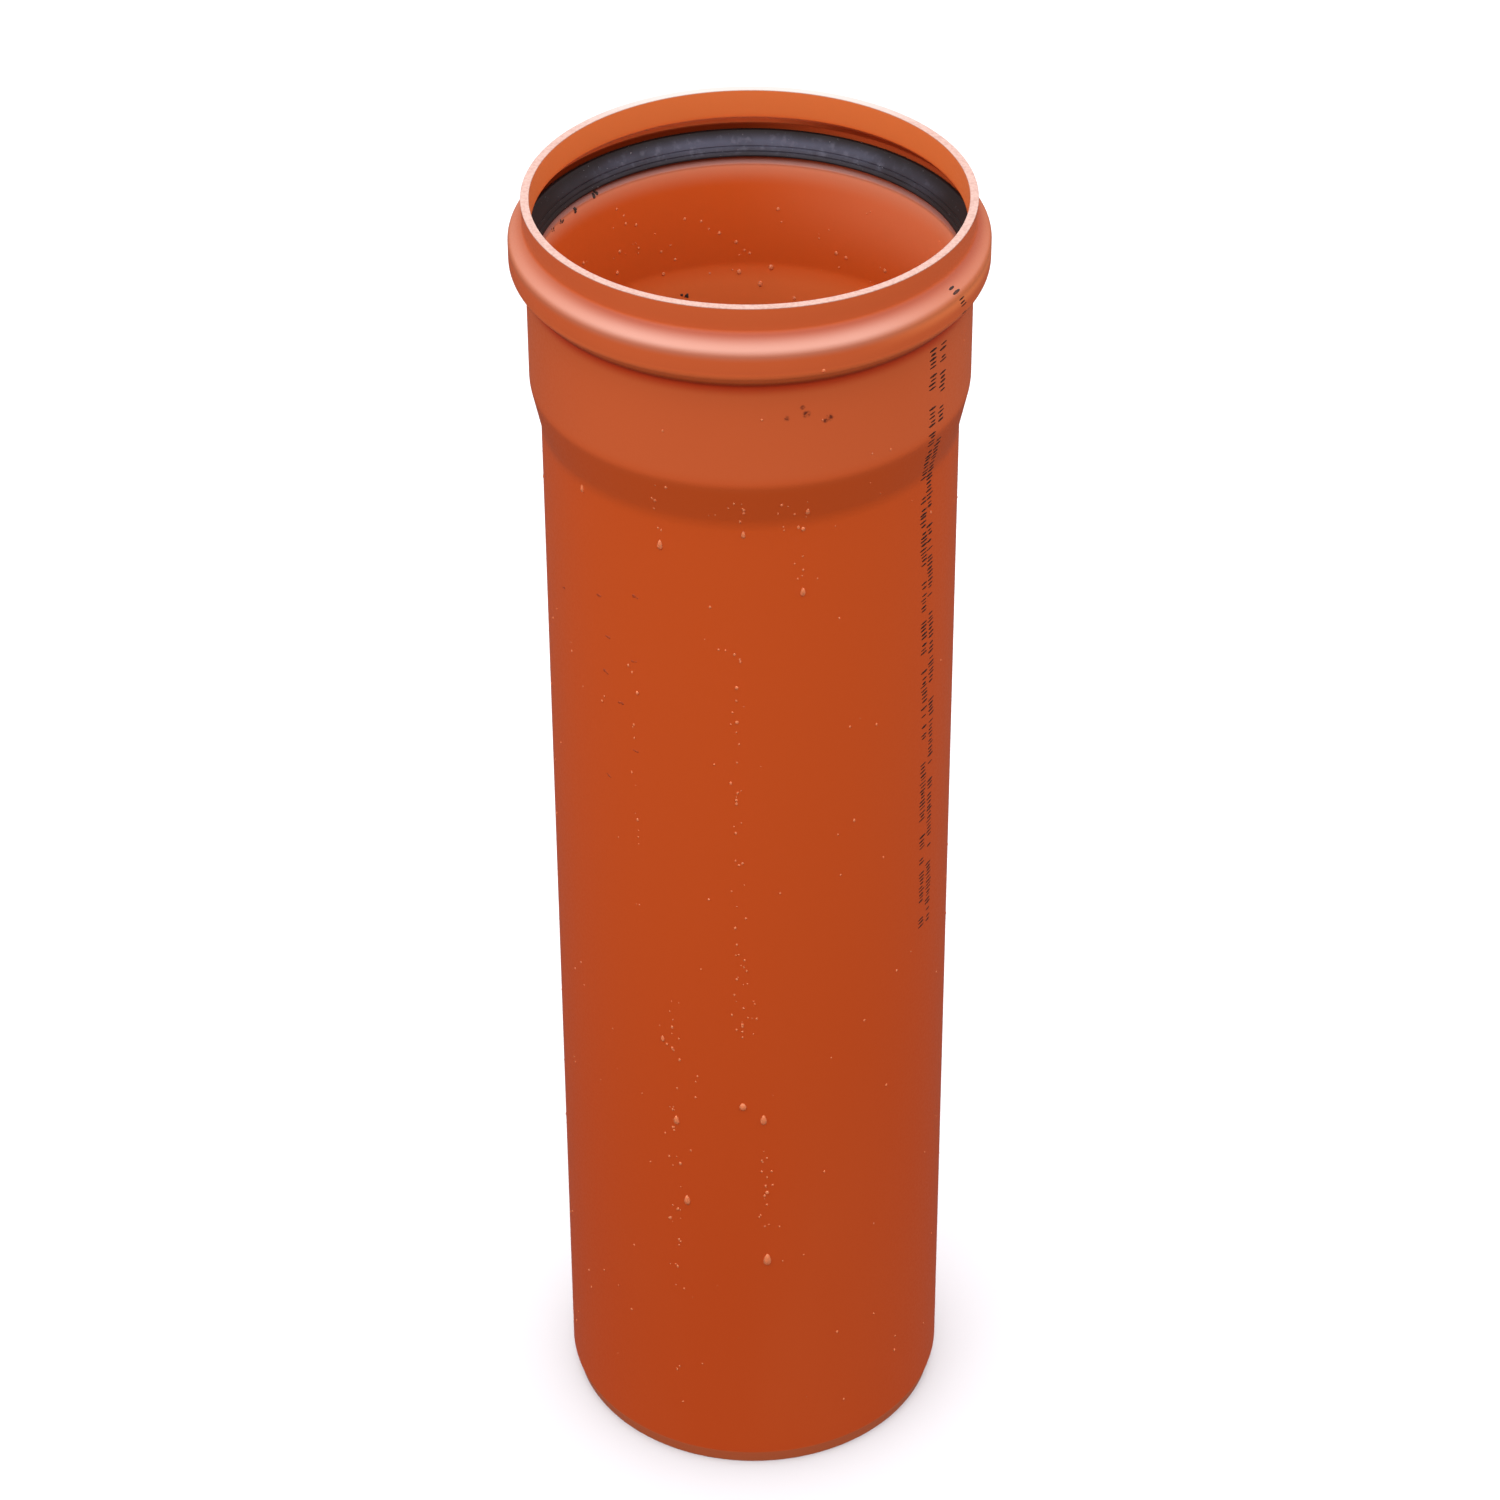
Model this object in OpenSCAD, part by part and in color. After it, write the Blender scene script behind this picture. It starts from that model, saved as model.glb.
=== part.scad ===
// Push-fit drain pipe of extruded PVC-U, standing on its spigot end with the formed socket up.
// A loose rubber lip ring lies in the groove inside the socket's bead.
// Millimetres, +Z up, origin in the middle of the spigot's end face.

/* [Pipe] */
// Outside diameter of the plain pipe
pipe_d = 160; // [150:0.5:170]
// Wall of the plain pipe
pipe_wall = 3.2; // [2.8:0.1:4.7]
// Laid length, from the spigot's end to the stop at the foot of the socket
laid_length = 500; // [250:10:3000]
// Length of the chamfer on the spigot
chamfer_l = 7; // [4:0.5:8]
// Slope of the chamfer against the pipe's side
chamfer_angle = 15; // [10:1:16]

/* [Socket] */
// Depth of the socket, from the mouth to the stop
socket_l = 76; // [60:1:120]
// Play on diameter between a fitted spigot and the socket
socket_play = 0.8; // [0.5:0.1:1.2]
// Wall of the parallel socket
socket_wall = 3.6; // [3:0.1:4.5]
// Length of the taper from the socket down to the pipe
taper_l = 19; // [14:1:30]
// Rounding where the socket passes into the taper
socket_round = 15; // [6:1:20]
// Rounding where the taper passes into the pipe
pipe_round = 30; // [10:1:40]
// Play on diameter between a fitted spigot and the throat above the groove
throat_play = 2.6; // [2:0.1:3.2]
// Widening of the throat on diameter, from the groove up to the mouth
mouth_flare = 1; // [0:0.1:2]
// Rounding of the sawn rim's edges
rim_edge = 0.3; // [0.1:0.1:0.6]

/* [Groove] */
// Depth of the groove's upper edge below the mouth
groove_top = 11.3; // [8:0.1:16]
// Height of the groove's floor
groove_h = 7.7; // [6.5:0.1:10]
// Depth of the groove's floor behind the socket's wall
groove_depth = 6.6; // [6:0.1:8]
// Slope of the groove's two flanks against the floor
flank_angle = 45; // [38:1:50]
// Wall of the throat and of the bead around the groove
bead_wall = 3.2; // [2.8:0.1:4]
// Rounding of the bead's outer corners
bead_round = 3; // [1.5:0.1:3.5]
// Rounding of the hollow corners above and below the bead
crease_round = 2.2; // [1:0.1:3]
// Rounding of the groove's own corners
groove_round = 1; // [0.4:0.1:1.2]

/* [Ring seal] */
// Inside diameter of the lip over the pipe's diameter, with a pipe fitted
lip_play = 0.2; // [0.1:0.1:0.4]
// Gap between the ring and the groove's walls
ring_gap = 0.3; // [0.2:0.05:0.5]
// Depth of the ring's top below the groove's upper corner
ring_top = 2; // [1:0.1:2.6]
// Radial width of the ring's flat top
ring_top_w = 1.5; // [1:0.1:2]
// Drop of the lip's edge below the ring's top
lip_drop = 8.4; // [7.6:0.1:9.2]
// Height of the lip's edge
lip_edge = 1; // [0.6:0.1:1.2]
// Radial width of the ring's foot
foot_w = 2.3; // [1.5:0.1:2.6]
// Radial width of the notch between the foot and the lip
notch_w = 1.2; // [0.8:0.1:1.4]
// Height of the notch above the foot
notch_h = 2; // [1.2:0.1:2.2]
// Rounding of the ring's corners
ring_round = 0.4; // [0.2:0.05:0.5]
// Rounding of the lip's edge
lip_round = 0.2; // [0.1:0.05:0.25]
// Width of the fine grooves on the lip
rib_w = 0.6; // [0.3:0.1:0.8]
// Depth of the fine grooves on the lip
rib_depth = 0.35; // [0.15:0.05:0.5]
// Distance of the first fine groove from the lip's edge
rib_first = 1.5; // [1.2:0.1:2.4]
// Distance of the fine grooves apart along the lip
rib_pitch = 2; // [1.5:0.1:3]

/* [Hidden] */
// Straight steps in each rounded corner
arc_steps = 6;
$fn = 180;

pipe_r = pipe_d / 2;
inner_r = pipe_r - pipe_wall;
top = laid_length + socket_l;
bore_r = pipe_r + socket_play / 2;
barrel_r = bore_r + socket_wall;
throat_r = pipe_r + throat_play / 2;
mouth_r = throat_r + mouth_flare / 2;
floor_r = bore_r + groove_depth;
bead_r = floor_r + bead_wall;

// Heights of the groove's four inner corners
throat_z = top - groove_top;
floor_top_z = throat_z - (floor_r - throat_r) / tan(flank_angle);
floor_low_z = floor_top_z - groove_h;
bore_top_z = floor_low_z - (floor_r - bore_r) / tan(flank_angle);

// An outer corner stands this far along the axis from the inner one, so the wall is even
bead_shift = bead_wall * tan(flank_angle / 2);
barrel_shift = socket_wall * tan(flank_angle / 2);

// Heights of the taper's ends
stop_z = top - socket_l;
taper_z = stop_z - taper_l;

function unit(v) = v / norm(v);

// The corner at b between its neighbours a and c, as points along the arc of radius r that touches both sides
function corner(a, b, c, r) =
    let (u = unit(a - b))
    let (v = unit(c - b))
    let (half = acos(u * v) / 2)
    let (centre = b + unit(u + v) * r / sin(half))
    let (from = b + u * r / tan(half) - centre)
    let (to = b + v * r / tan(half) - centre)
    let (start = atan2(from.y, from.x))
    let (turn = atan2(from.x * to.y - from.y * to.x, from * to))
    [for (i = [0:arc_steps]) centre + r * [cos(start + turn * i / arc_steps), sin(start + turn * i / arc_steps)]];

// A closed outline from corners given as [x, y, rounding]
function outline(list) =
    let (n = len(list))
    let (at = [for (p = list) [p.x, p.y]])
    [for (i = [0:n - 1])
        each list[i][2] == 0 ? [at[i]] : corner(at[(i + n - 1) % n], at[i], at[(i + 1) % n], list[i][2])];

// The whole wall in one outline: up the outside from the spigot, over the rim and down the inside
module pipe() {
    tip_r = pipe_r - chamfer_l * tan(chamfer_angle);
    outside = [
        [inner_r, 0, 0],
        [tip_r, 0, 0],
        [pipe_r, chamfer_l, 0],
        [pipe_r, taper_z, pipe_round],
        [barrel_r, stop_z, socket_round],
        [barrel_r, bore_top_z - barrel_shift, crease_round],
        [bead_r, floor_low_z - bead_shift, bead_round],
        [bead_r, floor_top_z + bead_shift, bead_round],
        [throat_r + bead_wall, throat_z + bead_shift, crease_round],
        [mouth_r + bead_wall, top, rim_edge]
    ];
    inside = [
        [mouth_r, top, rim_edge],
        [throat_r, throat_z, groove_round],
        [floor_r, floor_top_z, groove_round],
        [floor_r, floor_low_z, groove_round],
        [bore_r, bore_top_z, groove_round],
        [bore_r, stop_z, socket_round],
        [inner_r, taper_z, pipe_round]
    ];
    color("#b5571f")
        rotate_extrude()
            polygon(outline(concat(outside, inside)));
}

// The ring: a heel against the groove's floor, a foot on the lower flank and a sloping lip with two fine grooves
module seal_ring() {
    heel_r = floor_r - ring_gap;
    ring_z = floor_top_z - ring_top;
    lip_r = pipe_r + lip_play / 2;
    shoulder = [heel_r - ring_top_w, ring_z];
    edge = [lip_r, ring_z - lip_drop];
    along = unit(edge - shoulder);
    inward = [-along.y, along.x];
    heel_low = floor_low_z + ring_gap * tan(flank_angle / 2);
    foot = [heel_r - foot_w, heel_low - foot_w / tan(flank_angle)];
    root = [foot.x - notch_w, foot.y + notch_h];
    ribs = [for (k = [1, 0])
        let (mid = edge - along * (rib_first + rib_pitch * k))
        each [
            concat(mid - along * rib_w / 2, [0]),
            concat(mid + inward * rib_depth, [0]),
            concat(mid + along * rib_w / 2, [0])
        ]];
    color("#1d1f22")
        rotate_extrude()
            polygon(outline(concat(
                [[heel_r, heel_low, ring_round]],
                [[heel_r, ring_z, ring_round]],
                [concat(shoulder, [ring_round])],
                ribs,
                [concat(edge, [lip_round])],
                [[lip_r, edge.y - lip_edge, lip_round]],
                [concat(root, [ring_round])],
                [concat(foot, [ring_round])]
            )));
}

pipe();
seal_ring();
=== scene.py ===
import bmesh
import bpy
import numpy as np
from mathutils import Matrix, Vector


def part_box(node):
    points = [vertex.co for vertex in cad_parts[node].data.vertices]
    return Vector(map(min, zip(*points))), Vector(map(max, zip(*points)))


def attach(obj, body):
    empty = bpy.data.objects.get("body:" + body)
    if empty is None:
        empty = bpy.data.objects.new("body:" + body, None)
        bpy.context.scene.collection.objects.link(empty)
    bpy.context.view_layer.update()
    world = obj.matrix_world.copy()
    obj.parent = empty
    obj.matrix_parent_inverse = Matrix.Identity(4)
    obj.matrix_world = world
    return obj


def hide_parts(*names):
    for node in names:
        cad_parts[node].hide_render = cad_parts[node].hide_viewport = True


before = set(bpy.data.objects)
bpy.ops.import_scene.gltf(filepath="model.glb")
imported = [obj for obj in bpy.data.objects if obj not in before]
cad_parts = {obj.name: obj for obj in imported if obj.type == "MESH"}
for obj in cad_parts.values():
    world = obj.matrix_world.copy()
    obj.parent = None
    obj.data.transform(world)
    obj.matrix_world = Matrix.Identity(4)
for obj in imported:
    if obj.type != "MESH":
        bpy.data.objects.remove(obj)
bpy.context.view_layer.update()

# The pipe
# One length of orange-brown PVC-U, extruded, its upper end heated and pressed into a socket with a bead
# for the ring. The rim is sawn, so its face is paler than the skin, and the spigot is chamfered.
MM = 0.001
SPIGOT_END, RIM = (corner.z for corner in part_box("pipe"))
SPIGOT_EDGE = 0.1 * MM
PIPE_R = 80.0 * MM
PIPE_BORE = 76.8 * MM
PIPE_ROUND = 30 * MM
CHAMFER_R = 78.12 * MM
CHAMFER_TOP = 7.0 * MM
CHAMFER_ROUND = 1.0 * MM
TAPER_FOOT = RIM - 95.0 * MM
SOCKET_FOOT = RIM - 76.0 * MM
SOCKET_R = 84.0 * MM
SOCKET_BORE = 80.4 * MM
SOCKET_WALL = SOCKET_R - SOCKET_BORE
SOCKET_ROUND = 15 * MM
THROAT_BORE = 81.3 * MM
THROAT_FOOT = RIM - 11.3 * MM
MOUTH_BORE = 81.8 * MM
RIM_EDGE = 0.3 * MM
GROOVE_R = 87.0 * MM
GROOVE_TOP = RIM - 17.0 * MM
GROOVE_FOOT = RIM - 24.7 * MM
GROOVE_LIP = RIM - 31.3 * MM
GROOVE_ROUND = 1.0 * MM
BEAD_WALL = 3.2 * MM
BEAD_R = GROOVE_R + BEAD_WALL
BEAD_FOOT_ROUND = 4.6 * MM
BEAD_TOP_ROUND = 3.6 * MM
CREASE_ROUND = 2.2 * MM
# An outer corner stands this share of the wall's thickness along the axis from the inner one
FLANK_SHIFT = 0.414
BEAD_TOP = GROOVE_TOP + FLANK_SHIFT * BEAD_WALL
BEAD_FOOT = GROOVE_FOOT - FLANK_SHIFT * BEAD_WALL
NECK = THROAT_FOOT + FLANK_SHIFT * BEAD_WALL
CREASE = GROOVE_LIP - FLANK_SHIFT * SOCKET_WALL
AROUND = 288
ARC_POINTS = 9
OUTLINE_PITCH = 8 * MM


def rounded(corners, steps):
    """A closed outline from corners (radius, height, rounding). Each corner becomes the arc that touches
    both of its sides: the centre lies on the bisector, rounding / sin(half the angle) from the corner."""
    at, rounding = corners[:, :2], corners[:, 2:]
    back = np.roll(at, 1, axis=0) - at
    ahead = np.roll(at, -1, axis=0) - at
    back = back / np.linalg.norm(back, axis=1, keepdims=True)
    ahead = ahead / np.linalg.norm(ahead, axis=1, keepdims=True)
    half = np.arccos((back * ahead).sum(1, keepdims=True)) / 2
    middle = (back + ahead) / np.linalg.norm(back + ahead, axis=1, keepdims=True)
    centre = at + middle * rounding / np.sin(half)
    first = at + back * rounding / np.tan(half) - centre
    last = at + ahead * rounding / np.tan(half) - centre
    start = np.arctan2(first[:, 1], first[:, 0])
    turn = np.arctan2(first[:, 0] * last[:, 1] - first[:, 1] * last[:, 0], (first * last).sum(1))
    angle = start[:, None] + turn[:, None] * np.linspace(0, 1, steps)
    arc = centre[:, None] + rounding[:, None] * np.stack([np.cos(angle), np.sin(angle)], -1)
    return arc.reshape(-1, 2)


def spaced(outline, pitch):
    """The same closed outline with more points: its own, and one every pitch along its length."""
    loop = np.vstack([outline, outline[:1]])
    run = np.concatenate([[0], np.cumsum(np.linalg.norm(np.diff(loop, axis=0), axis=1))])
    stops = np.union1d(run[:-1], np.arange(0, run[-1] - pitch / 2, pitch))
    return np.stack([np.interp(stops, run, loop[:, k]) for k in (0, 1)], -1)


def turned(outline, around):
    """The points of an outline (radius, height) carried round the Z axis: x = radius cos a and
    y = radius sin a."""
    angle = np.linspace(0, 2 * np.pi, around, endpoint=False)[:, None]
    radius, height = outline[:, 0], outline[:, 1]
    return np.stack([radius * np.cos(angle), radius * np.sin(angle), height + 0 * angle], -1)


def surface(name, grids, close_rows=False, close_columns=False):
    """One mesh object from grids of points, shape (grids, rows, columns, 3). Each cell between four
    neighbours is a face, and a closed direction also joins its last line of points to its first."""
    count, rows, columns, _ = grids.shape
    index = np.arange(count * rows * columns).reshape(count, rows, columns)
    if close_rows:
        index = np.concatenate([index, index[:, :1]], axis=1)
    if close_columns:
        index = np.concatenate([index, index[:, :, :1]], axis=2)
    cells = [index[:, :-1, :-1], index[:, 1:, :-1], index[:, 1:, 1:], index[:, :-1, 1:]]
    faces = np.stack([cell.ravel() for cell in cells], -1)
    mesh = bpy.data.meshes.new(name)
    mesh.from_pydata(grids.reshape(-1, 3).tolist(), [], faces.tolist())
    mesh.polygons.foreach_set("use_smooth", np.ones(len(faces), bool))
    mesh.update()
    piece = bpy.data.objects.new(name, mesh)
    bpy.context.scene.collection.objects.link(piece)
    return piece


outside = [
    (PIPE_BORE, SPIGOT_END, SPIGOT_EDGE),
    (CHAMFER_R, SPIGOT_END, SPIGOT_EDGE),
    (PIPE_R, CHAMFER_TOP, CHAMFER_ROUND),
    (PIPE_R, TAPER_FOOT, PIPE_ROUND),
    (SOCKET_R, SOCKET_FOOT, SOCKET_ROUND),
    (SOCKET_R, CREASE, CREASE_ROUND),
    (BEAD_R, BEAD_FOOT, BEAD_FOOT_ROUND),
    (BEAD_R, BEAD_TOP, BEAD_TOP_ROUND),
    (THROAT_BORE + BEAD_WALL, NECK, CREASE_ROUND),
    (MOUTH_BORE + BEAD_WALL, RIM, RIM_EDGE),
]
inside = [
    (MOUTH_BORE, RIM, RIM_EDGE),
    (THROAT_BORE, THROAT_FOOT, GROOVE_ROUND),
    (GROOVE_R, GROOVE_TOP, GROOVE_ROUND),
    (GROOVE_R, GROOVE_FOOT, GROOVE_ROUND),
    (SOCKET_BORE, GROOVE_LIP, GROOVE_ROUND),
    (SOCKET_BORE, SOCKET_FOOT, SOCKET_ROUND),
    (PIPE_BORE, TAPER_FOOT, PIPE_ROUND),
]
pipe_outline = spaced(rounded(np.array(outside + inside), ARC_POINTS), OUTLINE_PITCH)
pipe = surface("pipe_wall", turned(pipe_outline, AROUND)[None], close_rows=True, close_columns=True)
# The outline's points from the last one on the rim's face onwards are the inner side
RIM_SLACK = 0.02 * MM
rim_end = np.flatnonzero(pipe_outline[:, 1] > RIM - RIM_SLACK).max()
inner_side = (np.arange(len(pipe_outline)) >= rim_end) * 1.0
inner_mark = pipe.data.attributes.new("inner", "FLOAT", "POINT")
inner_mark.data.foreach_set("value", np.tile(inner_side, AROUND))


class Finish:
    """The node tree of one material, with its Principled shader and short ways to add nodes to it."""

    def __init__(self, name):
        self.material = bpy.data.materials.new(name)
        self.material.use_nodes = True
        self.nodes = self.material.node_tree.nodes
        self.shader = self.nodes["Principled BSDF"]
        self.place = self.add("ShaderNodeTexCoord").outputs["Object"]
        axes = self.add("ShaderNodeSeparateXYZ")
        self.put(axes.inputs[0], self.place)
        self.rightwards, self.backwards, self.height = axes.outputs

    def add(self, kind, **settings):
        """A new node with the given settings."""
        node = self.nodes.new(kind)
        for key, value in settings.items():
            setattr(node, key, value)
        return node

    def put(self, socket, value):
        """Sets a socket to a value, or links another node's output to it."""
        if isinstance(value, bpy.types.NodeSocket):
            self.material.node_tree.links.new(value, socket)
        else:
            socket.default_value = value

    def math(self, operation, *values):
        """The result of one Math node."""
        node = self.add("ShaderNodeMath", operation=operation)
        for socket, given in zip(node.inputs, values):
            self.put(socket, given)
        return node.outputs[0]

    def ramp(self, value, low, high, to_low=0.0, to_high=1.0):
        """Carries value from the range low to high onto to_low to to_high, smoothly and clamped."""
        node = self.add("ShaderNodeMapRange", interpolation_type="SMOOTHSTEP")
        for socket, given in zip(node.inputs, (value, low, high, to_low, to_high)):
            self.put(socket, given)
        return node.outputs[0]

    def band(self, low, rise, fall, high):
        """A rise with the height, from 0 at low to 1 at rise, times a fall from 1 at fall to 0 at high."""
        upwards = self.ramp(self.height, low, rise)
        downwards = self.ramp(self.height, fall, high, 1.0, 0.0)
        return self.math("MULTIPLY", upwards, downwards)

    def spot(self, angle, height, radius, size):
        """1 near a place on a wall, given by angle from the front and height, falling to 0 at size."""
        node = self.add("ShaderNodeVectorMath", operation="DISTANCE")
        self.put(node.inputs[0], self.place)
        node.inputs[1].default_value = (radius * np.sin(angle), -radius * np.cos(angle), height)
        return self.ramp(node.outputs["Value"], size, 0.3 * size)

    def mix(self, share, first, second):
        """A colour between first and second."""
        node = self.add("ShaderNodeMix", data_type="RGBA")
        self.put(node.inputs["Factor"], share)
        self.put(node.inputs[6], first)
        self.put(node.inputs[7], second)
        return node.outputs[2]

    def tint(self, tone, colour, *masks):
        """The tone with a colour laid over it, as far as the product of the masks goes."""
        share = masks[0]
        for mask in masks[1:]:
            share = self.math("MULTIPLY", share, mask)
        return self.mix(share, tone, colour)

    def noise(self, scale, detail=2.0, stretch=None):
        """Cloudy noise from 0 to 1. A stretch below 1 draws it out along that axis."""
        node = self.add("ShaderNodeTexNoise")
        node.inputs["Scale"].default_value = scale
        node.inputs["Detail"].default_value = detail
        if stretch is None:
            self.put(node.inputs["Vector"], self.place)
        else:
            stretched = self.add("ShaderNodeMapping")
            self.put(stretched.inputs["Vector"], self.place)
            stretched.inputs["Scale"].default_value = stretch
            self.put(node.inputs["Vector"], stretched.outputs[0])
        return node.outputs["Fac"]

    def bump(self, height, distance, strength, under=None):
        """A normal bent by the height, on top of another bump's normal where one is given."""
        node = self.add("ShaderNodeBump")
        self.put(node.inputs["Height"], height)
        node.inputs["Distance"].default_value = distance
        node.inputs["Strength"].default_value = strength
        if under is not None:
            self.put(node.inputs["Normal"], under)
        return node.outputs[0]


SKIN = (0.49, 0.064, 0.0062, 1)
# Painted shade for the plain pipe's foot
SKIN_FOOT_SHADE = (0.43, 0.049, 0.0036, 1)
SKIN_DULL = (0.45, 0.064, 0.010, 1)
INNER_SKIN = (0.52, 0.080, 0.0105, 1)
SOCKET_SKIN = (0.51, 0.089, 0.0215, 1)
MOUTH_SKIN = (0.52, 0.122, 0.028, 1)
BORE_SKIN = (0.545, 0.116, 0.026, 1)
RUBBED = (0.57, 0.215, 0.120, 1)
# Painted shadow of the ring on the wall just under its lip
RING_SHADOW = (0.17, 0.036, 0.016, 1)
# Painted highlight on the bead's shoulder, weaker towards the neck and at the sides
SHOULDER_HIGHLIGHT = (0.43, 0.178, 0.118, 1)
NECK_HIGHLIGHT = (0.30, 0.052, 0.017, 1)
SIDE_HIGHLIGHT = (0.37, 0.093, 0.034, 1)
# Painted highlight on the bead's crown, and painted light on its lower flank
CROWN_HIGHLIGHT = (0.66, 0.160, 0.046, 1)
FLANK_LIGHT = (0.80, 0.150, 0.036, 1)
SHADED = (0.42, 0.028, 0.001, 1)
# Wear with painted light, for the right of the wall under the ring
WORN_AND_LIT = (0.62, 0.180, 0.080, 1)
# Painted shade in the groove, and painted light on its right and on its upper flank
GROOVE_SHADE = (0.12, 0.014, 0.003, 1)
GROOVE_LIT = (0.38, 0.060, 0.016, 1)
THROAT_FLANK_LIGHT = (0.85, 0.220, 0.070, 1)
SAWN = (0.37, 0.232, 0.190, 1)
SAWN_DULL = (0.31, 0.180, 0.145, 1)
# Painted light on the back of the sawn faces
SAWN_BACK_LIGHT = (0.39, 0.330, 0.300, 1)
CHAMFERED = (0.50, 0.095, 0.026, 1)
STAIN = (0.110, 0.017, 0.006, 1)
# Each smudge's angle from the front in degrees, depth below the rim and size in millimetres
SMUDGES = ((9, 47, 1.5), (14, 46, 2.0), (13, 43, 1.3), (20, 49, 2.1), (19, 50, 1.4))
FOOT_SHADE = 30 * MM
SKIN_IOR = 1.5
SAWN_ROUGHER = 0.35
SKIN_GLOSS = 0.5
NECK_DULLER = 0.3

skin = Finish("orange_pvc")
inner = skin.add("ShaderNodeAttribute", attribute_name="inner").outputs["Fac"]
outer = skin.math("SUBTRACT", 1.0, inner)
# Painted shade at the plain pipe's foot; its bore is paler under the socket, and dull clouds lie over both
tone = skin.mix(skin.ramp(skin.height, FOOT_SHADE, TAPER_FOOT), SKIN_FOOT_SHADE, SKIN)
socket_inside = skin.ramp(skin.height, SOCKET_FOOT - 8 * MM, SOCKET_FOOT + 2 * MM)
tone = skin.mix(inner, tone, skin.mix(socket_inside, BORE_SKIN, INNER_SKIN))
formed = skin.ramp(skin.height, SOCKET_FOOT - 4 * MM, SOCKET_FOOT + 5 * MM)
tone = skin.tint(tone, SOCKET_SKIN, formed, outer)
cloud = skin.ramp(skin.noise(9.0, 4.0, stretch=(1, 1, 0.35)), 0.45, 0.75, 0.0, 0.45)
tone = skin.tint(tone, SKIN_DULL, cloud)
mouth = skin.ramp(skin.height, THROAT_FOOT - 1 * MM, THROAT_FOOT + 2 * MM)
tone = skin.tint(tone, MOUTH_SKIN, mouth, inner)
# Wall under the ring: rubbed pale, paler on the right by painted light, brown in the ring's painted shadow
worn_lit_right = skin.ramp(skin.rightwards, -10 * MM, 70 * MM, 0.0, 0.65)
worn_lit_band = skin.band(SOCKET_FOOT, GROOVE_LIP - 6 * MM, GROOVE_LIP, GROOVE_LIP + 1 * MM)
tone = skin.tint(tone, WORN_AND_LIT, worn_lit_right, worn_lit_band, inner)
rubbed = skin.band(GROOVE_LIP - 10 * MM, GROOVE_LIP + 3 * MM, GROOVE_LIP + 2 * MM, GROOVE_LIP + 3 * MM)
# Painted shadow of the ring just under its lip
shade = skin.ramp(skin.height, GROOVE_LIP - 1.2 * MM, GROOVE_LIP + 0.6 * MM)
tone = skin.tint(tone, skin.mix(shade, RUBBED, RING_SHADOW), rubbed, inner)
# Painted shade in the groove, painted lighter on the right, and painted light on its upper flank, not on
# the right
groove_shade = skin.band(
    GROOVE_LIP + 0.8 * MM, GROOVE_LIP + 2.4 * MM, THROAT_FOOT - 1.6 * MM, THROAT_FOOT - 0.6 * MM,
)
groove_shade = skin.math("MULTIPLY", groove_shade, inner)
groove_right = skin.ramp(skin.rightwards, -10 * MM, 50 * MM)
tone = skin.tint(tone, skin.mix(groove_right, GROOVE_SHADE, GROOVE_LIT), groove_shade)
# Painted light on the groove's upper flank, except on the right
upper_flank_light = skin.band(
    GROOVE_TOP - 0.5 * MM, GROOVE_TOP + 1.5 * MM, THROAT_FOOT - 0.6 * MM, THROAT_FOOT + 0.6 * MM,
)
flank_left = skin.ramp(skin.rightwards, 45 * MM, 5 * MM)
tone = skin.tint(tone, THROAT_FLANK_LIGHT, upper_flank_light, flank_left, inner)
# Painted highlight on the bead's shoulder, least at both sides, and painted shade in the crease under it
shoulder_highlight = skin.band(BEAD_TOP - 4 * MM, BEAD_TOP + 1 * MM, BEAD_TOP + 4.8 * MM, BEAD_TOP + 6.6 * MM)
crown_highlight = skin.band(BEAD_TOP - 7 * MM, BEAD_TOP - 3 * MM, BEAD_TOP - 1 * MM, BEAD_TOP + 2 * MM)
neckwards = skin.ramp(skin.height, BEAD_TOP + 1.2 * MM, BEAD_TOP + 5.5 * MM)
right = skin.ramp(skin.rightwards, 35 * MM, 80 * MM)
left = skin.ramp(skin.rightwards, -40 * MM, -110 * MM)
# Painted highlight on the bead's crown, on the right
tone = skin.tint(tone, CROWN_HIGHLIGHT, crown_highlight, right, outer)
highlight_tone = skin.mix(right, SHOULDER_HIGHLIGHT, SIDE_HIGHLIGHT)
highlight_tone = skin.mix(neckwards, highlight_tone, NECK_HIGHLIGHT)
highlight_tone = skin.mix(left, highlight_tone, SIDE_HIGHLIGHT)
tone = skin.tint(tone, highlight_tone, shoulder_highlight, outer)
# Painted light on the bead's lower flank
flank_light = skin.band(CREASE + 1.5 * MM, CREASE + 4 * MM, CREASE + 6 * MM, CREASE + 9 * MM)
tone = skin.tint(tone, FLANK_LIGHT, flank_light, outer)
crease = skin.band(CREASE - 5 * MM, CREASE, CREASE + 0.4 * MM, CREASE + 3 * MM)
tone = skin.tint(tone, SHADED, crease, outer)
# Dark smudges on the socket
smudge = 0.0
for angle, depth, size in SMUDGES:
    spot = skin.spot(np.radians(angle), RIM - depth * MM, SOCKET_R, size * MM)
    smudge = skin.math("MAXIMUM", smudge, spot)
tone = skin.tint(tone, STAIN, smudge, skin.ramp(skin.noise(700.0, 2.0), 0.30, 0.62))
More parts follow.
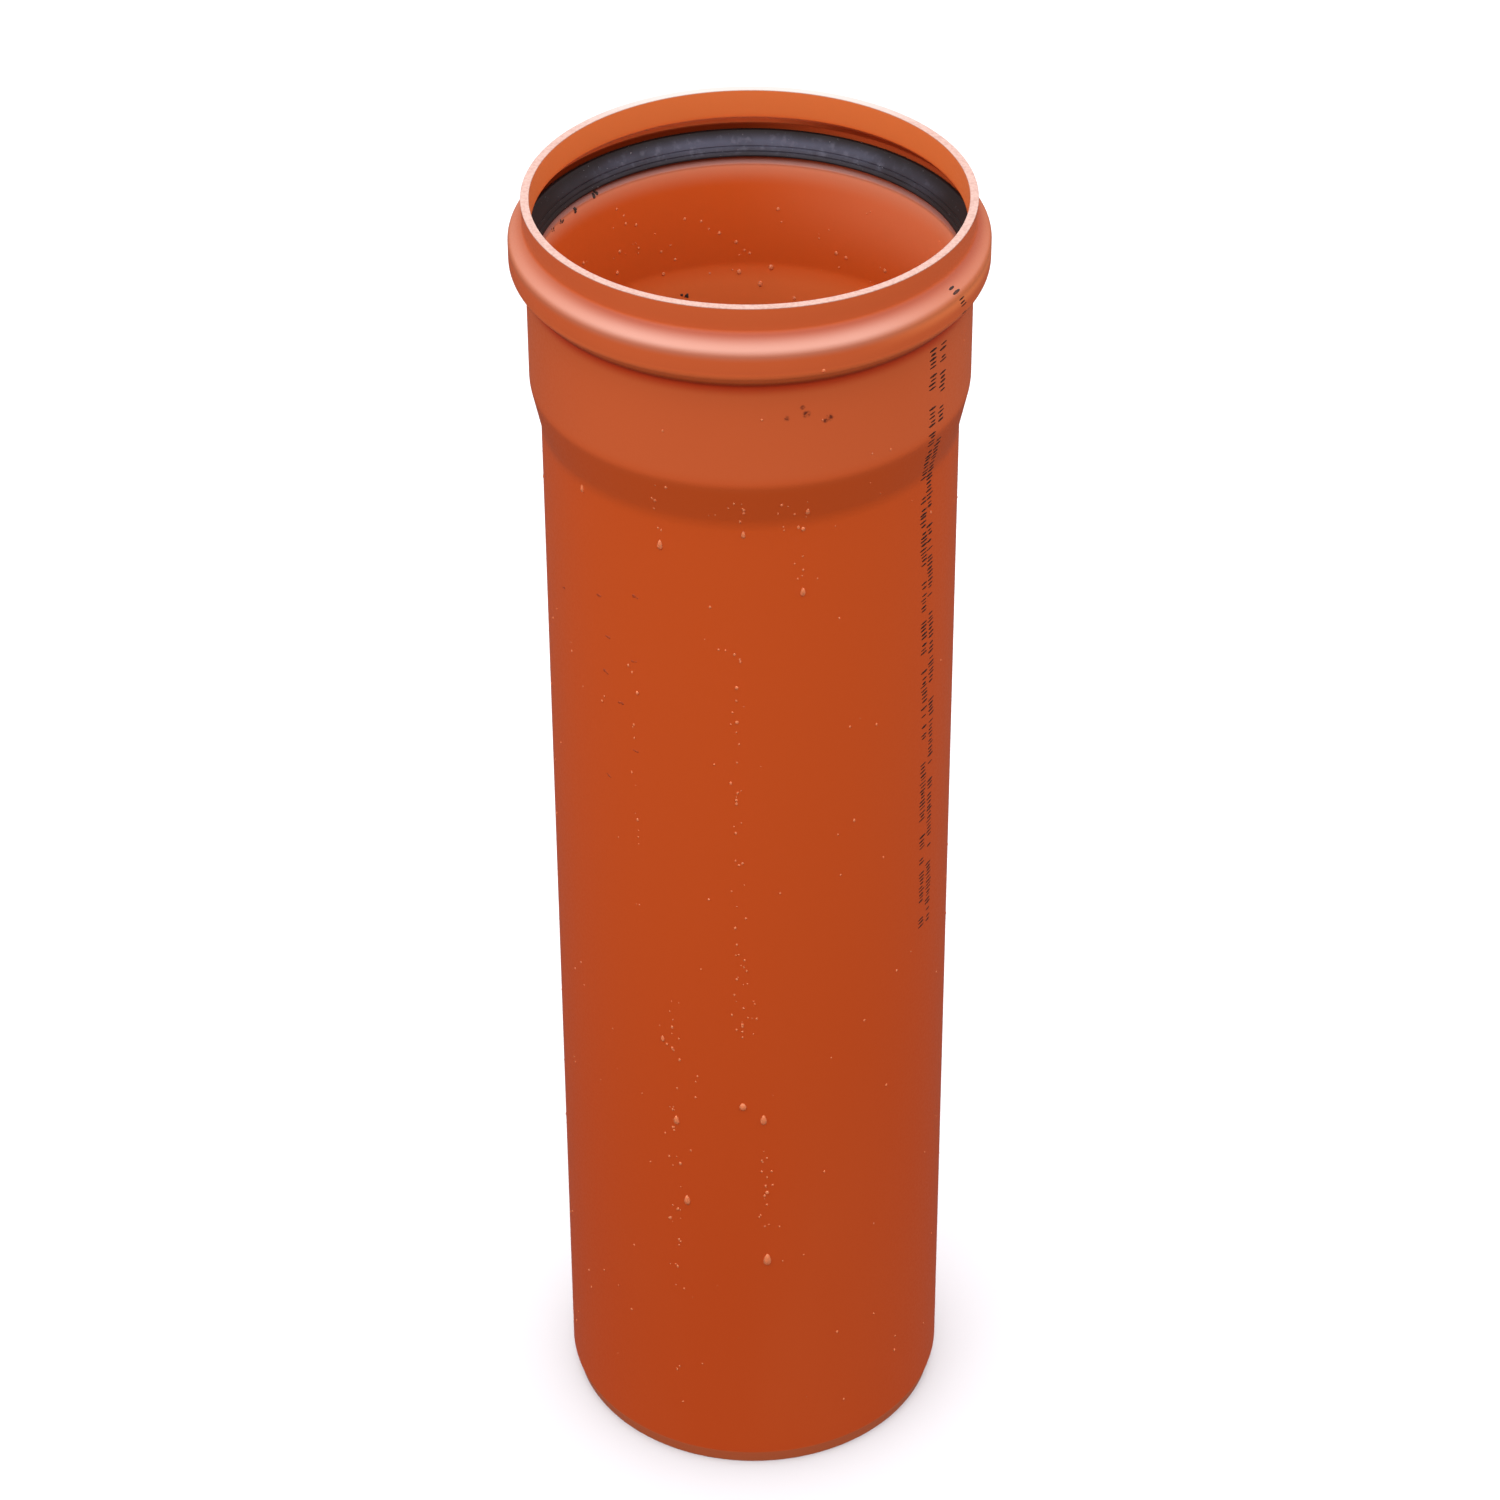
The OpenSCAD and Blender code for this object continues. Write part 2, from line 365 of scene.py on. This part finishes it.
# The turned chamfer, and the sawn faces of the rim and of the spigot's end
chamfered = skin.ramp(skin.height, CHAMFER_TOP + 0.4 * MM, CHAMFER_TOP - 0.4 * MM)
tone = skin.tint(tone, CHAMFERED, chamfered, outer)
sawn_rim = skin.ramp(skin.height, RIM - 0.45 * MM, RIM - 0.15 * MM)
sawn_spigot = skin.ramp(skin.height, SPIGOT_END + 0.3 * MM, SPIGOT_END + 0.1 * MM)
sawn = skin.math("MAXIMUM", sawn_rim, sawn_spigot)
grain = skin.noise(900.0, 2.0)
sawn_tone = skin.mix(skin.ramp(grain, 0.35, 0.7), SAWN, SAWN_DULL)
# Painted light brightens the sawn faces towards the back
sawn_tone = skin.tint(sawn_tone, SAWN_BACK_LIGHT, skin.ramp(skin.backwards, 45 * MM, 82 * MM))
skin.put(skin.shader.inputs["Base Color"], skin.tint(tone, sawn_tone, sawn))
# The sawn faces are rougher than the skin, the bead's neck has less gloss and the groove has none
matt = skin.ramp(grain, 0.3, 0.7, 0.34, 0.42)
rougher = skin.math("MULTIPLY", sawn, SAWN_ROUGHER)
skin.put(skin.shader.inputs["Roughness"], skin.math("ADD", matt, rougher))
skin.shader.inputs["IOR"].default_value = SKIN_IOR
neck = skin.math("MULTIPLY", skin.math("MULTIPLY", shoulder_highlight, neckwards), outer)
gloss = skin.math("MULTIPLY_ADD", groove_shade, -SKIN_GLOSS, SKIN_GLOSS)
gloss = skin.math("MULTIPLY_ADD", neck, -NECK_DULLER, gloss)
skin.put(skin.shader.inputs["Specular IOR Level"], gloss)
# Fine lines drawn along the pipe by the die, a fine grain, and the tool's rings on the chamfer
drawn = skin.noise(260.0, 2.0, stretch=(1, 1, 0.012))
tool_rings = skin.math("MULTIPLY", skin.noise(1800.0, 1.0, stretch=(0.02, 0.02, 1)), chamfered)
relief = skin.bump(drawn, 0.02 * MM, 0.3)
relief = skin.bump(grain, 0.01 * MM, 0.25, under=relief)
relief = skin.bump(tool_rings, 0.05 * MM, 0.4, under=relief)
skin.put(skin.shader.inputs["Normal"], relief)
pipe.data.materials.append(skin.material)
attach(pipe, "root")
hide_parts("pipe")

# The ring seal
# A moulded ring of black rubber that lies in the groove: a heel against the groove's floor, a foot on its
# lower flank, and a sloping lip with two fine grooves that a pipe pushes aside. Only the groove holds it.
RING_GAP = 0.3 * MM
RING_TOP = GROOVE_TOP - 2.0 * MM
RING_ROUND = 0.4 * MM
RING_ARC_POINTS = 6
RING_PITCH = 1.0 * MM
HEEL_R = GROOVE_R - RING_GAP
HEEL_FOOT = GROOVE_FOOT + FLANK_SHIFT * RING_GAP
SHOULDER_R = HEEL_R - 1.5 * MM
LIP_R = 80.1 * MM
LIP_Z = RING_TOP - 8.4 * MM
LIP_EDGE = 1.0 * MM
LIP_ROUND = 0.2 * MM
FOOT_W = 2.3 * MM
NOTCH_W = 1.2 * MM
NOTCH_H = 2.0 * MM
RIB_W = 0.6 * MM
RIB_DEPTH = 0.35 * MM
RIB_FIRST = 1.5 * MM
RIB_PITCH = 2.0 * MM
RIB_ROUND = 0.08 * MM

lip_edge = np.array([LIP_R, LIP_Z])
shoulder = np.array([SHOULDER_R, RING_TOP])
down_lip = (lip_edge - shoulder) / np.linalg.norm(lip_edge - shoulder)
into_lip = np.array([-down_lip[1], down_lip[0]])
foot = np.array([HEEL_R - FOOT_W, HEEL_FOOT - FOOT_W])
ring_corners = [
    (HEEL_R, HEEL_FOOT, RING_ROUND),
    (HEEL_R, RING_TOP, RING_ROUND),
    (*shoulder, RING_ROUND),
]
for k in (1, 0):
    middle = lip_edge - down_lip * (RIB_FIRST + RIB_PITCH * k)
    ring_corners += [
        (*(middle - down_lip * RIB_W / 2), RIB_ROUND),
        (*(middle + into_lip * RIB_DEPTH), RIB_ROUND),
        (*(middle + down_lip * RIB_W / 2), RIB_ROUND),
    ]
ring_corners += [
    (*lip_edge, LIP_ROUND),
    (LIP_R, LIP_Z - LIP_EDGE, LIP_ROUND),
    (foot[0] - NOTCH_W, foot[1] + NOTCH_H, RING_ROUND),
    (*foot, RING_ROUND),
]
ring_outline = spaced(rounded(np.array(ring_corners), RING_ARC_POINTS), RING_PITCH)
ring = surface("lip_ring", turned(ring_outline, AROUND)[None], close_rows=True, close_columns=True)

RUBBER = (0.012, 0.0075, 0.0070, 1)
# Painted sheen on the ring's lip, and pale dust shown where the sheen is
RUBBER_SHEEN = (0.062, 0.065, 0.093, 1)
RUBBER_DUST_AND_SHEEN = (0.105, 0.105, 0.135, 1)
RUBBER_FLECK = (0.16, 0.15, 0.16, 1)
RUBBER_GLOSS = 0.14
rubber = Finish("black_rubber")
# A painted grey sheen with dust on it, at the back and more to the right, and a few pale flecks
painted_sheen = rubber.band(LIP_Z - 1.5 * MM, LIP_Z + 5 * MM, RING_TOP - 4 * MM, RING_TOP)
painted_sheen = rubber.math("MULTIPLY", painted_sheen, rubber.ramp(rubber.noise(45.0, 4.0), 0.3, 0.65, 0.35, 1.0))
painted_sheen = rubber.math("MULTIPLY", painted_sheen, rubber.ramp(rubber.backwards, 32 * MM, 68 * MM))
painted_sheen = rubber.math("MULTIPLY", painted_sheen, rubber.ramp(rubber.rightwards, -60 * MM, -10 * MM, 0.5, 1.0))
rubber_tone = rubber.mix(painted_sheen, RUBBER, RUBBER_SHEEN)
dust_and_sheen = rubber.ramp(rubber.noise(330.0, 6.0), 0.5, 0.72, 0.0, 0.45)
rubber_tone = rubber.tint(rubber_tone, RUBBER_DUST_AND_SHEEN, dust_and_sheen, rubber.ramp(painted_sheen, 0.0, 0.6))
flecks = rubber.ramp(rubber.noise(1300.0, 1.0), 0.74, 0.80)
rubber.put(rubber.shader.inputs["Base Color"], rubber.tint(rubber_tone, RUBBER_FLECK, flecks))
rubber.put(rubber.shader.inputs["Roughness"], rubber.ramp(rubber.noise(60.0, 3.0), 0.3, 0.7, 0.42, 0.56))
rubber.shader.inputs["Specular IOR Level"].default_value = RUBBER_GLOSS
rubber.put(rubber.shader.inputs["Normal"], rubber.bump(rubber.noise(700.0, 2.0), 0.02 * MM, 0.3))
ring.data.materials.append(rubber.material)
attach(ring, "root")
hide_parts("seal_ring")

# The rain drops
# Rain has run down the pipe and stands on it: a few long drops, each at the foot of its own trail of small
# ones, and a thin scatter all round. More drops hang on the inner wall. The water lies flat on the wall.
SEED = 7
DROP_RINGS = 7
DROP_SECTORS = 12
DROP_RISE = 0.55
MERGE_WITHIN = 0.0002 * MM
# Columns in a table of places
HALF_LENGTH, RISE = 3, 4
outer_wall = pipe_outline[:rim_end][np.argsort(pipe_outline[:rim_end, 1], kind="stable")]
inner_wall = pipe_outline[rim_end:][np.argsort(pipe_outline[rim_end:, 1], kind="stable")]


def blobs(name, wall, facing, places, rings, sectors, lumps=0.0):
    """One closed ball per place, squashed flat on a wall given as points (radius, height). A place is
    (angle from the front, height, half width, half length, rise, narrowing). With t from pole to pole and s
    round the ball, x = sin t cos s and y = sin t sin s. The upper half stands rise cos t off the wall, and
    the lower half lies half as deep in it. The width shrinks by the narrowing towards the top, as in a drop
    that runs. Lumps make the outline uneven at random."""
    t = np.linspace(0, np.pi, rings)[:, None]
    s = np.linspace(0, 2 * np.pi, sectors, endpoint=False)
    x, y = np.sin(t) * np.cos(s), np.sin(t) * np.sin(s)
    angle, height, half_width, half_length, rise, narrowing = places.T[:, :, None, None]
    ragged = np.random.default_rng(SEED).uniform(-1, 1, (len(places), rings, sectors))
    uneven = 1 + lumps * np.sin(t) * ragged
    up = height + half_length * y * uneven
    base = np.interp(up, wall[:, 1], wall[:, 0])
    around = angle - np.pi / 2 + half_width * x * (1 - narrowing * y) * uneven / base
    radius = base + facing * rise * np.where(t < np.pi / 2, 1.0, 0.5) * np.cos(t)
    points = np.stack([radius * np.cos(around), radius * np.sin(around), up], -1)
    piece = surface(name, points, close_columns=True)
    shell = bmesh.new()
    shell.from_mesh(piece.data)
    bmesh.ops.remove_doubles(shell, verts=shell.verts, dist=MERGE_WITHIN)
    bmesh.ops.recalc_face_normals(shell, faces=shell.faces)
    shell.to_mesh(piece.data)
    shell.free()
    return piece


def drops(angle, depth, half_width, stretch=1.0, narrowing=0.0):
    """Places for blobs, from angles in degrees from the front, depths below the rim and half widths in
    millimetres. The half length is stretch times the half width, and the rise is a fixed share of it."""
    rows = np.broadcast_arrays(
        np.radians(angle),
        RIM - depth * MM,
        half_width * MM,
        half_width * stretch * MM,
        half_width * DROP_RISE * MM,
        narrowing,
    )
    return np.stack([np.ravel(row) for row in rows], -1)


# Lists of single drops give each one's angle, depth and half width
LONG_DROPS = np.array([
    (-25, 108, 1.1), (-2, 99, 0.8), (15, 90, 0.8), (14, 126, 1.0), (-27, 346, 0.8), (-23, 387, 1.2),
    (-20, 429, 1.3), (3, 382, 1.3), (4, 458, 1.6), (-52, 98, 0.9),
])
LONG_STRETCH = 2.0
LONG_NARROWING = 0.35
ROUND_DROPS = np.array([
    (14, 98, 0.8), (-4, 168, 0.7), (-4, 184, 0.7), (-33, 179, 0.7), (-22, 410, 0.7), (4, 421, 0.8),
    (-3, 375, 1.5), (17, 25, 0.7), (-22, 80, 0.6),
])
ROUND_STRETCH = 1.25
SMALL_NARROWING = 0.1
# Each trail's angle, upper and lower depth and number of drops
TRAILS = (
    (-25, 80, 106, 6), (-2, 84, 97, 7), (-4, 150, 345, 42), (14, 84, 124, 9), (-24, 320, 480, 44),
    (4, 370, 455, 16), (-1, 300, 345, 14), (-34, 150, 260, 10), (9, 84, 100, 5),
)
TRAIL_SPREAD = 1.5
TRAIL_WIDTHS = (0.2, 0.55)
TRAIL_STRETCHES = (1.0, 1.7)
ALL_ROUND = (-180, 180)
SCATTERED = 260
SCATTER_DEPTHS = (40, 560)
SCATTER_WIDTHS = (0.15, 0.55)
SCATTER_STRETCHES = (1.0, 1.6)
chance = np.random.default_rng(SEED)
rain = [
    drops(*LONG_DROPS.T, LONG_STRETCH, LONG_NARROWING),
    drops(*ROUND_DROPS.T, ROUND_STRETCH, SMALL_NARROWING),
]
for angle, upper, lower, count in TRAILS:
    rain.append(drops(
        chance.normal(angle, TRAIL_SPREAD, count),
        chance.uniform(upper, lower, count),
        chance.uniform(*TRAIL_WIDTHS, count),
        chance.uniform(*TRAIL_STRETCHES, count),
        SMALL_NARROWING,
    ))
rain.append(drops(
    chance.uniform(*ALL_ROUND, SCATTERED),
    chance.uniform(*SCATTER_DEPTHS, SCATTERED),
    chance.uniform(*SCATTER_WIDTHS, SCATTERED),
    chance.uniform(*SCATTER_STRETCHES, SCATTERED),
    SMALL_NARROWING,
))
outer_drops = blobs("rain_outside", outer_wall, 1, np.concatenate(rain), DROP_RINGS, DROP_SECTORS)

HUNG_DROPS = np.array([
    (-140, 69, 0.8), (-127, 57, 0.7), (-141, 60, 0.7), (-155, 76, 0.7), (-177, 79, 0.9), (172, 51, 0.7),
    (155, 67, 0.8), (152, 68, 0.7), (139, 68, 0.8), (174, 77, 1.0), (177, 84, 1.0), (167, 89, 0.7),
])
HUNG_STRETCH = 1.2
HUNG_NARROWING = 0.15
# Each streak's first angle and depth, last angle and depth, and number of drops
HUNG_STREAKS = ((-162, 53, -182, 72, 7), (-150, 62, -158, 70, 3), (-142, 41, -145, 53, 4))
STREAK_SPREAD = 1.2
STREAK_STEP_SPREAD = 1.0
STREAK_WIDTHS = (0.45, 0.75)
HUNG_SCATTERED = 130
HUNG_DEPTHS = (38, 110)
HUNG_WIDTHS = (0.15, 0.45)
inner_rain = [drops(*HUNG_DROPS.T, HUNG_STRETCH, HUNG_NARROWING)]
for angle, depth, last_angle, last_depth, count in HUNG_STREAKS:
    inner_rain.append(drops(
        np.linspace(angle, last_angle, count) + chance.normal(0, STREAK_SPREAD, count),
        np.linspace(depth, last_depth, count) + chance.normal(0, STREAK_STEP_SPREAD, count),
        chance.uniform(*STREAK_WIDTHS, count),
        HUNG_STRETCH,
        HUNG_NARROWING,
    ))
inner_rain.append(drops(
    chance.uniform(*ALL_ROUND, HUNG_SCATTERED),
    chance.uniform(*HUNG_DEPTHS, HUNG_SCATTERED),
    chance.uniform(*HUNG_WIDTHS, HUNG_SCATTERED),
))
inner_drops = blobs("rain_inside", inner_wall, -1, np.concatenate(inner_rain), DROP_RINGS, DROP_SECTORS)

WATER = (0.86, 0.28, 0.115, 1)
WATER_IOR = 1.33
WATER_CLEAR = 0.45
WATER_ROUGHNESS = 0.04
water = Finish("water")
water.shader.inputs["Base Color"].default_value = WATER
water.shader.inputs["Transmission Weight"].default_value = WATER_CLEAR
water.shader.inputs["IOR"].default_value = WATER_IOR
water.shader.inputs["Roughness"].default_value = WATER_ROUGHNESS
for piece in (outer_drops, inner_drops):
    piece.data.materials.append(water.material)
    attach(piece, "root")

# The ink ticks
# Two rows of plain dark ticks, sprayed on the pipe as it leaves the die. The rows drift round the pipe by a
# few degrees, break off now and then, and run over the socket that is formed later.
TICK_PITCH = 1.8
# Points that each row runs through: depth below the rim and angle from the front
TICK_ROWS = (
    np.array([(38, 53), (90, 54), (200, 57), (312, 58)]),
    np.array([(13, 57), (24, 61), (36, 58), (100, 57), (200, 61), (312, 62)]),
)
TICK_SHARE = 0.85
# A row breaks off where the cosine of its run over this length is low
BREAK_LENGTH = 6.5
BREAK_BELOW = -0.85
DEPTH_PLAY = 0.25
ANGLE_PLAY = 0.3
TICK_HALF_WIDTHS = (1.5, 2.6)
TICK_HALF_LENGTHS = (0.35, 0.62)
INK_THICKNESS = 0.03 * MM
TICK_RINGS = 5
TICK_SECTORS = 8
tick_rows = []
for row in TICK_ROWS:
    depths, angles = row.T
    depth = np.arange(depths[0], depths[-1], TICK_PITCH)
    inked = chance.uniform(0, 1, len(depth)) < TICK_SHARE
    shown = inked & (np.cos((depth - depths[0]) / BREAK_LENGTH) > BREAK_BELOW)
    count = shown.sum()
    depth = depth[shown] + chance.uniform(-DEPTH_PLAY, DEPTH_PLAY, count)
    angle = np.interp(depth, depths, angles) + chance.uniform(-ANGLE_PLAY, ANGLE_PLAY, count)
    tick = drops(angle, depth, chance.uniform(*TICK_HALF_WIDTHS, count))
    tick[:, HALF_LENGTH] = chance.uniform(*TICK_HALF_LENGTHS, count) * MM
    tick[:, RISE] = INK_THICKNESS
    tick_rows.append(tick)
ticks = blobs("ink_ticks", outer_wall, 1, np.concatenate(tick_rows), TICK_RINGS, TICK_SECTORS)

INK = (0.022, 0.009, 0.007, 1)
INK_FADED = (0.08, 0.020, 0.009, 1)
INK_ROUGHNESS = 0.5
INK_GLOSS = 0.2
ink = Finish("dark_ink")
faded = ink.ramp(ink.noise(500.0, 3.0), 0.4, 0.75)
ink.put(ink.shader.inputs["Base Color"], ink.mix(faded, INK, INK_FADED))
ink.shader.inputs["Roughness"].default_value = INK_ROUGHNESS
ink.shader.inputs["Specular IOR Level"].default_value = INK_GLOSS
ticks.data.materials.append(ink.material)
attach(ticks, "root")

# The dirt
# Clumps of dark soil that stick to the socket's inner wall under the ring, and a few further down. On the
# outside a few thin splashes have dried on the pipe's left. Both only stick to the skin.
CRUMBS = np.array([
    (-124, 32, 0.6), (-117, 32, 0.5), (-112, 32, 0.4), (-133, 31, 0.6), (-161, 87, 0.6), (104, 33, 0.5),
    (20, 33, 0.5), (60, 70, 0.5),
])
CLUMP = 6
CLUMP_SPREAD = 0.55
CRUMB_SIZES = (0.4, 1.3)
CRUMB_STRETCH = 0.9
CRUMB_LUMPS = 0.35
clump = np.repeat(CRUMBS, CLUMP, axis=0)
clump += chance.normal(0, 1, clump.shape) * (CLUMP_SPREAD, CLUMP_SPREAD, 0)
clump[:, 2] *= chance.uniform(*CRUMB_SIZES, len(clump))
crumbs = drops(*clump.T, CRUMB_STRETCH)
soil = blobs("soil_crumbs", inner_wall, -1, crumbs, DROP_RINGS, DROP_SECTORS, lumps=CRUMB_LUMPS)

SPLASHES = np.array([
    (-64, 152, 0.6), (-46, 142, 0.7), (-33, 135, 0.6), (-43, 159, 0.7), (-34, 165, 0.6), (-44, 176, 0.6),
    (-39, 187, 0.6), (-34, 207, 0.6), (-44, 225, 0.5),
])
# A splash is a short leaning row of flat spots
SPLASH_STEPS = (-1.0, 0.0, 1.0)
SPLASH_LEANS = (-0.5, 1.0)
STEP_PLAY = 0.3
STEP_AROUND = 0.6
STEP_DOWN = 0.5
SPLASH_SIZES = (0.6, 1.5)
SPLASH_STRETCH = 0.75
SPLASH_THICKNESS = 0.02 * MM
SPLASH_RINGS = 5
SPLASH_SECTORS = 10
SPLASH_LUMPS = 0.3
spots = np.repeat(SPLASHES, len(SPLASH_STEPS), axis=0)
lean = np.repeat(chance.uniform(*SPLASH_LEANS, len(SPLASHES)), len(SPLASH_STEPS))
step = np.tile(SPLASH_STEPS, len(SPLASHES)) + chance.uniform(-STEP_PLAY, STEP_PLAY, len(spots))
spots[:, 0] += STEP_AROUND * step
spots[:, 1] += STEP_DOWN * step * lean
spots[:, 2] *= chance.uniform(*SPLASH_SIZES, len(spots))
splash = drops(*spots.T, SPLASH_STRETCH)
splash[:, RISE] = SPLASH_THICKNESS
dried = blobs("dried_splashes", outer_wall, 1, splash, SPLASH_RINGS, SPLASH_SECTORS, lumps=SPLASH_LUMPS)

SOIL = (0.010, 0.004, 0.003, 1)
SOIL_DRY = (0.035, 0.014, 0.008, 1)
SOIL_ROUGHNESS = 0.85
SPLASH = (0.27, 0.032, 0.004, 1)
SPLASH_THIN = (0.36, 0.045, 0.006, 1)
SPLASH_ROUGHNESS = 0.5
earth = Finish("dark_soil")
crumbly = earth.noise(1500.0, 3.0)
earth.put(earth.shader.inputs["Base Color"], earth.mix(crumbly, SOIL, SOIL_DRY))
earth.shader.inputs["Roughness"].default_value = SOIL_ROUGHNESS
earth.put(earth.shader.inputs["Normal"], earth.bump(crumbly, 0.1 * MM, 0.8))
mud = Finish("dried_mud")
thin = mud.ramp(mud.noise(600.0, 3.0), 0.3, 0.7)
mud.put(mud.shader.inputs["Base Color"], mud.mix(thin, SPLASH, SPLASH_THIN))
mud.shader.inputs["Roughness"].default_value = SPLASH_ROUGHNESS
for piece, finish in ((soil, earth), (dried, mud)):
    piece.data.materials.append(finish.material)
    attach(piece, "root")

# The floor and the light
# A wide pale floor and the even light of a covered sky, brightest overhead and weaker near the horizon.
# One soft lamp stands for the brighter sky on the left. The camera sees plain white behind the pipe.
FLOOR_HALF = 20.0
FLOOR_PALE = (0.50, 0.50, 0.50, 1)
FLOOR_ROUGHNESS = 0.9
side = np.linspace(-FLOOR_HALF, FLOOR_HALF, 2)
floor_grid = np.stack(np.meshgrid(side, side, [SPIGOT_END], indexing="ij"), -1).reshape(1, 2, 2, 3)
floor = surface("floor", floor_grid)
pale = Finish("pale_floor")
pale.shader.inputs["Base Color"].default_value = FLOOR_PALE
pale.shader.inputs["Roughness"].default_value = FLOOR_ROUGHNESS
pale.shader.inputs["Specular IOR Level"].default_value = 0.0
floor.data.materials.append(pale.material)
floor.visible_glossy = False
floor.visible_diffuse = False

GROUND_LIGHT = (0.022, 0.020, 0.019, 1)
HORIZON_LIGHT = (0.11, 0.11, 0.115, 1)
MIDDLE_LIGHT = (0.42, 0.42, 0.44, 1)
ZENITH_LIGHT = (0.62, 0.62, 0.64, 1)
SKY_STRENGTH = 5.5
WHITE = (1, 1, 1, 1)
sky = bpy.data.worlds.new("covered_sky")
bpy.context.scene.world = sky
sky.use_nodes = True
tree = sky.node_tree
direction = tree.nodes.new("ShaderNodeTexCoord").outputs["Generated"]
split = tree.nodes.new("ShaderNodeSeparateXYZ")
tree.links.new(direction, split.inputs[0])
lifted = tree.nodes.new("ShaderNodeMapRange")
tree.links.new(split.outputs["Z"], lifted.inputs["Value"])
lifted.inputs["From Min"].default_value = -1.0
by_height = tree.nodes.new("ShaderNodeValToRGB")
tree.links.new(lifted.outputs[0], by_height.inputs["Fac"])
steps = by_height.color_ramp.elements
steps[0].position = 0.46
steps[0].color = GROUND_LIGHT
steps[1].position = 1.0
steps[1].color = ZENITH_LIGHT
for position, colour in ((0.53, HORIZON_LIGHT), (0.75, MIDDLE_LIGHT)):
    steps.new(position).color = colour
backdrop = tree.nodes["Background"]
backdrop.inputs["Strength"].default_value = SKY_STRENGTH
tree.links.new(by_height.outputs["Color"], backdrop.inputs["Color"])
white_wall = tree.nodes.new("ShaderNodeBackground")
white_wall.inputs["Color"].default_value = WHITE
seen = tree.nodes.new("ShaderNodeMixShader")
tree.links.new(tree.nodes.new("ShaderNodeLightPath").outputs["Is Camera Ray"], seen.inputs[0])
tree.links.new(backdrop.outputs[0], seen.inputs[1])
tree.links.new(white_wall.outputs[0], seen.inputs[2])
tree.links.new(seen.outputs[0], tree.nodes["World Output"].inputs["Surface"])


def softbox(name, place, aim, size, watts):
    """A square area light at place, turned so that it shines towards aim."""
    lamp = bpy.data.lights.new(name, "AREA")
    lamp.size = size
    lamp.energy = watts
    holder = bpy.data.objects.new(name, lamp)
    back = np.array(place) - np.array(aim)
    back = back / np.linalg.norm(back)
    across = np.cross((0, 0, 1), back)
    across = across / np.linalg.norm(across)
    turn = np.stack([across, np.cross(back, across), back], -1)
    holder.matrix_world = Matrix.Translation(place) @ Matrix(turn.tolist()).to_4x4()
    bpy.context.scene.collection.objects.link(holder)


softbox("left_sky", place=(-1.6, -1.4, 2.2), aim=(0, 0, 0.4), size=1.8, watts=11)

# The camera
# It stands in front of the pipe and looks down at it, as in the photograph.
SENSOR = 36.0
PHOTO_SIDE = 1500
FOCAL_PX = 4517.1
LOOK_DOWN = np.radians(35.81)
ROLL = np.radians(-0.255)
TURN = np.radians(-0.027)
CAMERA_AT = (0, -1.47767, RIM + 0.81161)
ahead = np.array([np.sin(TURN) * np.cos(LOOK_DOWN), np.cos(TURN) * np.cos(LOOK_DOWN), -np.sin(LOOK_DOWN)])
level = np.array([np.cos(TURN), -np.sin(TURN), 0])
upright = np.cross(level, ahead)
across = np.cos(ROLL) * level + np.sin(ROLL) * upright
upright = np.cos(ROLL) * upright - np.sin(ROLL) * level
lens = bpy.data.cameras.new("camera")
lens.sensor_width = SENSOR
lens.lens = FOCAL_PX / PHOTO_SIDE * SENSOR
camera = bpy.data.objects.new("camera", lens)
turn = np.stack([across, upright, -ahead], -1)
camera.matrix_world = Matrix.Translation(CAMERA_AT) @ Matrix(turn.tolist()).to_4x4()
bpy.context.scene.collection.objects.link(camera)
bpy.context.scene.camera = camera
bpy.context.scene.view_settings.view_transform = "Standard"
